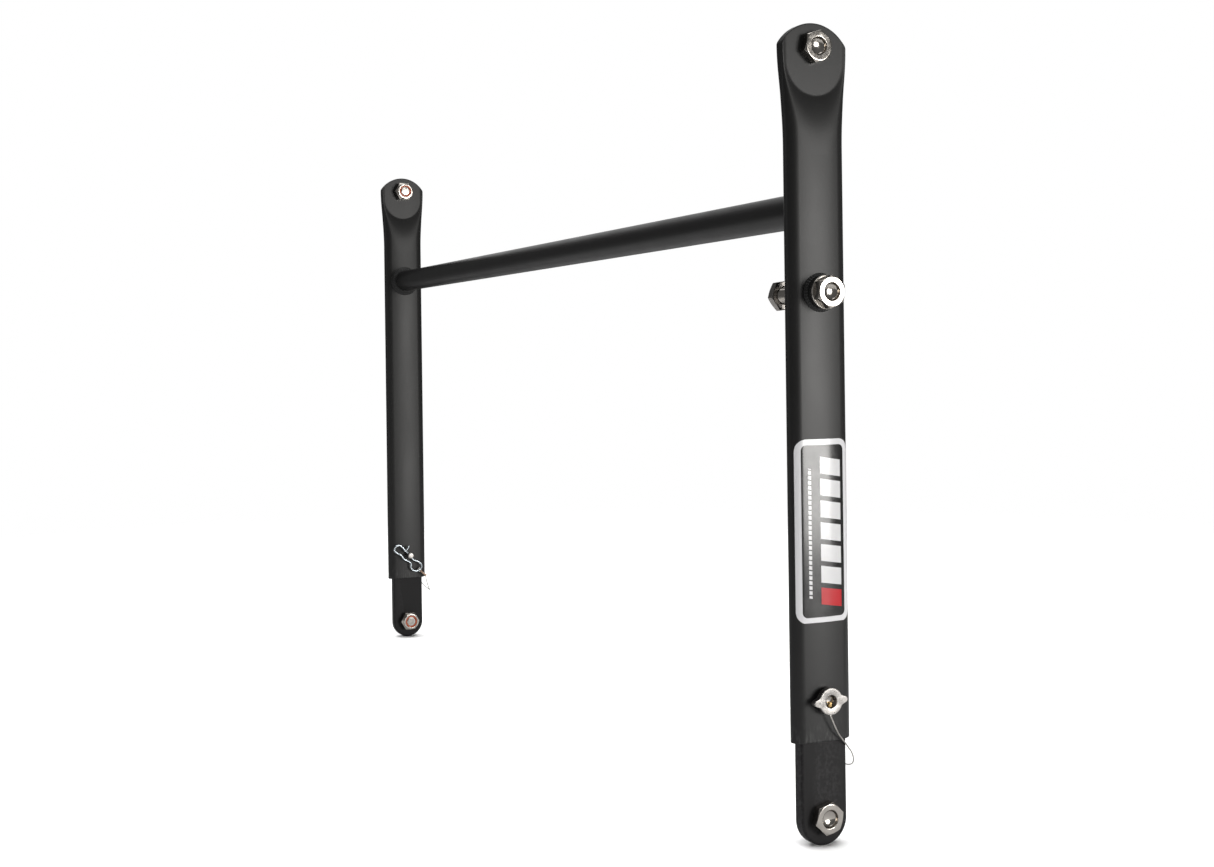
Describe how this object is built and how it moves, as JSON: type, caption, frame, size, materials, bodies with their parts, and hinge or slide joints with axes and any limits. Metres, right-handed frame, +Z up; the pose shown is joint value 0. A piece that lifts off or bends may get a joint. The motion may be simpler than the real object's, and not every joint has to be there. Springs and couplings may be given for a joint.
{
  "type": "adjustable h-frame support",
  "caption": "H-shaped support: flat-oval legs on a round crossbar, with pinned telescopic feet, crushed bolted top eyes and a side stud.",
  "frame": {"origin": "on the common axis of the two foot bolts, midway between the legs", "axes": "+X along the crossbar towards the leg with the side stud, +Y across the legs' wide faces, +Z up"},
  "size_m": [0.6135, 0.0373, 0.3635],
  "materials": {
    "black_tube": "satin black powder coat",
    "black_bar": "flat black anodised look",
    "bright_hardware": "turned and polished bolt metal",
    "pin_metal": "machined bright metal",
    "nylon_ring": "orange nylon",
    "brass": "plain brass",
    "lanyard_wire": "stranded steel wire",
    "spring_wire": "zinc-plated spring wire",
    "label_print": "printed label"
  },
  "bodies": {
    "frame": {"left_leg_tube": "black_tube", "right_leg_tube": "black_tube", "crossbar_tube": "black_tube", "left_crossbar_weld": "black_tube", "right_crossbar_weld": "black_tube", "left_top_bolt": "bright_hardware", "right_top_bolt": "bright_hardware", "left_top_nut": "bright_hardware", "right_top_nut": "bright_hardware", "left_top_nut_insert": "nylon_ring", "right_top_nut_insert": "nylon_ring", "side_stud_bush": "black_tube", "side_stud_weld": "black_tube", "side_stud_washer": "bright_hardware", "side_stud_bolt": "bright_hardware", "leg_label": "label_print"},
    "side_nut": {"side_stud_nut": "bright_hardware"},
    "left_adjuster": {"left_adjuster_bar": "black_bar", "left_foot_bolt": "bright_hardware", "left_foot_nut": "bright_hardware", "left_foot_nut_insert": "nylon_ring"},
    "right_adjuster": {"right_adjuster_bar": "black_bar", "right_foot_bolt": "bright_hardware", "right_foot_nut": "bright_hardware", "right_foot_nut_insert": "nylon_ring"},
    "left_pin_body": {"left_pin": "pin_metal", "left_pin_ferrule": "brass", "left_lanyard": "lanyard_wire"},
    "right_pin_body": {"right_pin": "pin_metal", "right_pin_ferrule": "brass", "right_lanyard": "lanyard_wire"},
    "left_clip_body": {"left_clip": "spring_wire"},
    "right_clip_body": {"right_clip": "spring_wire"}
  },
  "joints": [
    {"name": "left_foot_extend", "type": "slide", "parent": "frame", "child": "left_adjuster", "axis": [0, 0, -1], "range_m": [-0.0127, 0.0635]},
    {"name": "right_foot_extend", "type": "slide", "parent": "frame", "child": "right_adjuster", "axis": [0, 0, -1], "range_m": [-0.0127, 0.0635]},
    {"name": "left_pin_pull", "type": "slide", "parent": "frame", "child": "left_pin_body", "axis": [-1, 0, 0], "range_m": [0, 0.03]},
    {"name": "right_pin_pull", "type": "slide", "parent": "frame", "child": "right_pin_body", "axis": [1, 0, 0], "range_m": [0, 0.03]},
    {"name": "left_clip_pull", "type": "slide", "parent": "left_pin_body", "child": "left_clip_body", "axis": [0, 0.6198, -0.7848], "range_m": [0, 0.02], "deforming": ["left_clip", "left_lanyard"]},
    {"name": "right_clip_pull", "type": "slide", "parent": "right_pin_body", "child": "right_clip_body", "axis": [0, 0.0436, -0.999], "range_m": [0, 0.02], "deforming": ["right_clip", "right_lanyard"]},
    {"name": "side_nut_removal", "type": "slide", "parent": "frame", "child": "side_nut", "axis": [-1, 0, 0], "range_m": [0, 0.03]}
  ]
}
